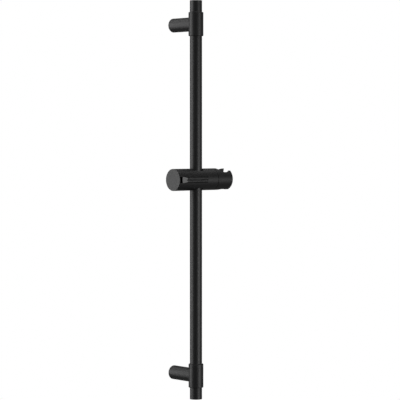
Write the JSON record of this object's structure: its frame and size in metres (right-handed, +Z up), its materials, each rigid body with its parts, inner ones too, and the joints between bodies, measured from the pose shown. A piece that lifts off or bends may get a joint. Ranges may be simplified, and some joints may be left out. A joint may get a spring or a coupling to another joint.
{
  "type": "shower slide rail",
  "caption": "Round wall-mounted slide rail with post brackets and a cylindrical slider across it, which has a release lever and a tilting holder for a hand shower.",
  "frame": {"origin": "centre of the lower wall fixing, on the wall plane", "axes": "+Z up along the rail, +Y into the wall, +X to the right as seen from the room"},
  "size_m": [0.1262, 0.0828, 0.7198],
  "materials": {
    "coated_tube": "matte",
    "coated_casting": "matte",
    "coated_slider": "matte",
    "black_plastic": "matte",
    "glide_plastic": "satin",
    "black_rubber": "matte",
    "steel": "satin",
    "boss_brass": "satin"
  },
  "bodies": {
    "rail": {"rail_tube": "coated_tube", "bottom_plug": "black_plastic", "top_plug": "black_plastic", "lower_bracket": "coated_casting", "upper_bracket": "coated_casting", "lower_wall_boss": "boss_brass", "upper_wall_boss": "boss_brass", "boss_grub_screws": "steel", "clamp_screws": "steel", "lower_clamp_pad": "glide_plastic", "upper_clamp_pad": "glide_plastic"},
    "glide": {"upper_bush": "glide_plastic", "lower_bush": "glide_plastic"},
    "slider": {"slider_body": "coated_slider", "end_cap": "coated_slider", "lever_pin": "steel", "lever_spring": "steel", "pivot_screw": "steel", "pivot_washer": "steel"},
    "lever": {"release_lever": "coated_slider", "brake_pad": "black_rubber"},
    "holder": {"handset_holder": "coated_slider", "swivel_ring": "black_rubber"}
  },
  "joints": [
    {"name": "rail_slide", "type": "slide", "parent": "rail", "child": "glide", "axis": [0, 0, 1], "range_m": [-0.313, 0.2375]},
    {"name": "slider_swivel", "type": "hinge", "parent": "glide", "child": "slider", "pos_m": [0, -0.063, 0.3551], "axis": [0, 0, 1], "range_deg": [-90, 35]},
    {"name": "holder_tilt", "type": "hinge", "parent": "slider", "child": "holder", "pos_m": [0.055, -0.063, 0.3551], "axis": [1, 0, 0], "range_deg": [-75, 75]},
    {"name": "lever_press", "type": "hinge", "parent": "slider", "child": "lever", "pos_m": [-0.0135, -0.0768, 0.3551], "axis": [0, 0, 1], "range_deg": [-5, 0], "stiffness_Nm_per_rad": 3, "springref_deg": 2.86, "deforming": ["lever_spring"]}
  ]
}
